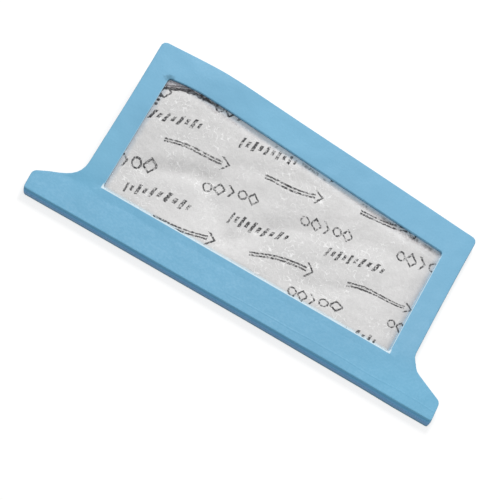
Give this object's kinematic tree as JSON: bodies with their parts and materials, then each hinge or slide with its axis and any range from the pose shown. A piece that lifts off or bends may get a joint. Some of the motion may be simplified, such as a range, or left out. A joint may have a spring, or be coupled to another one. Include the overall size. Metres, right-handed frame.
{
  "type": "cpap filter",
  "caption": "Soft moulded T-shaped frame with a wide eared foot round a rectangular window that holds a thin nonwoven air filter sheet.",
  "frame": {"origin": "middle of the outline, on the surface that the part lies on", "axes": "+X along the foot to the right, +Y from the foot to the top bar, +Z out of the face"},
  "size_m": [0.075, 0.0346, 0.0075],
  "materials": {
    "soft_blue_plastic": "satin light blue soft plastic, moulded",
    "white_nonwoven": "white nonwoven fibre sheet with a dark grey printed repeat of plain marks"
  },
  "bodies": {
    "root": {"moulded_frame": "soft_blue_plastic", "filter_sheet": "white_nonwoven"}
  },
  "joints": []
}
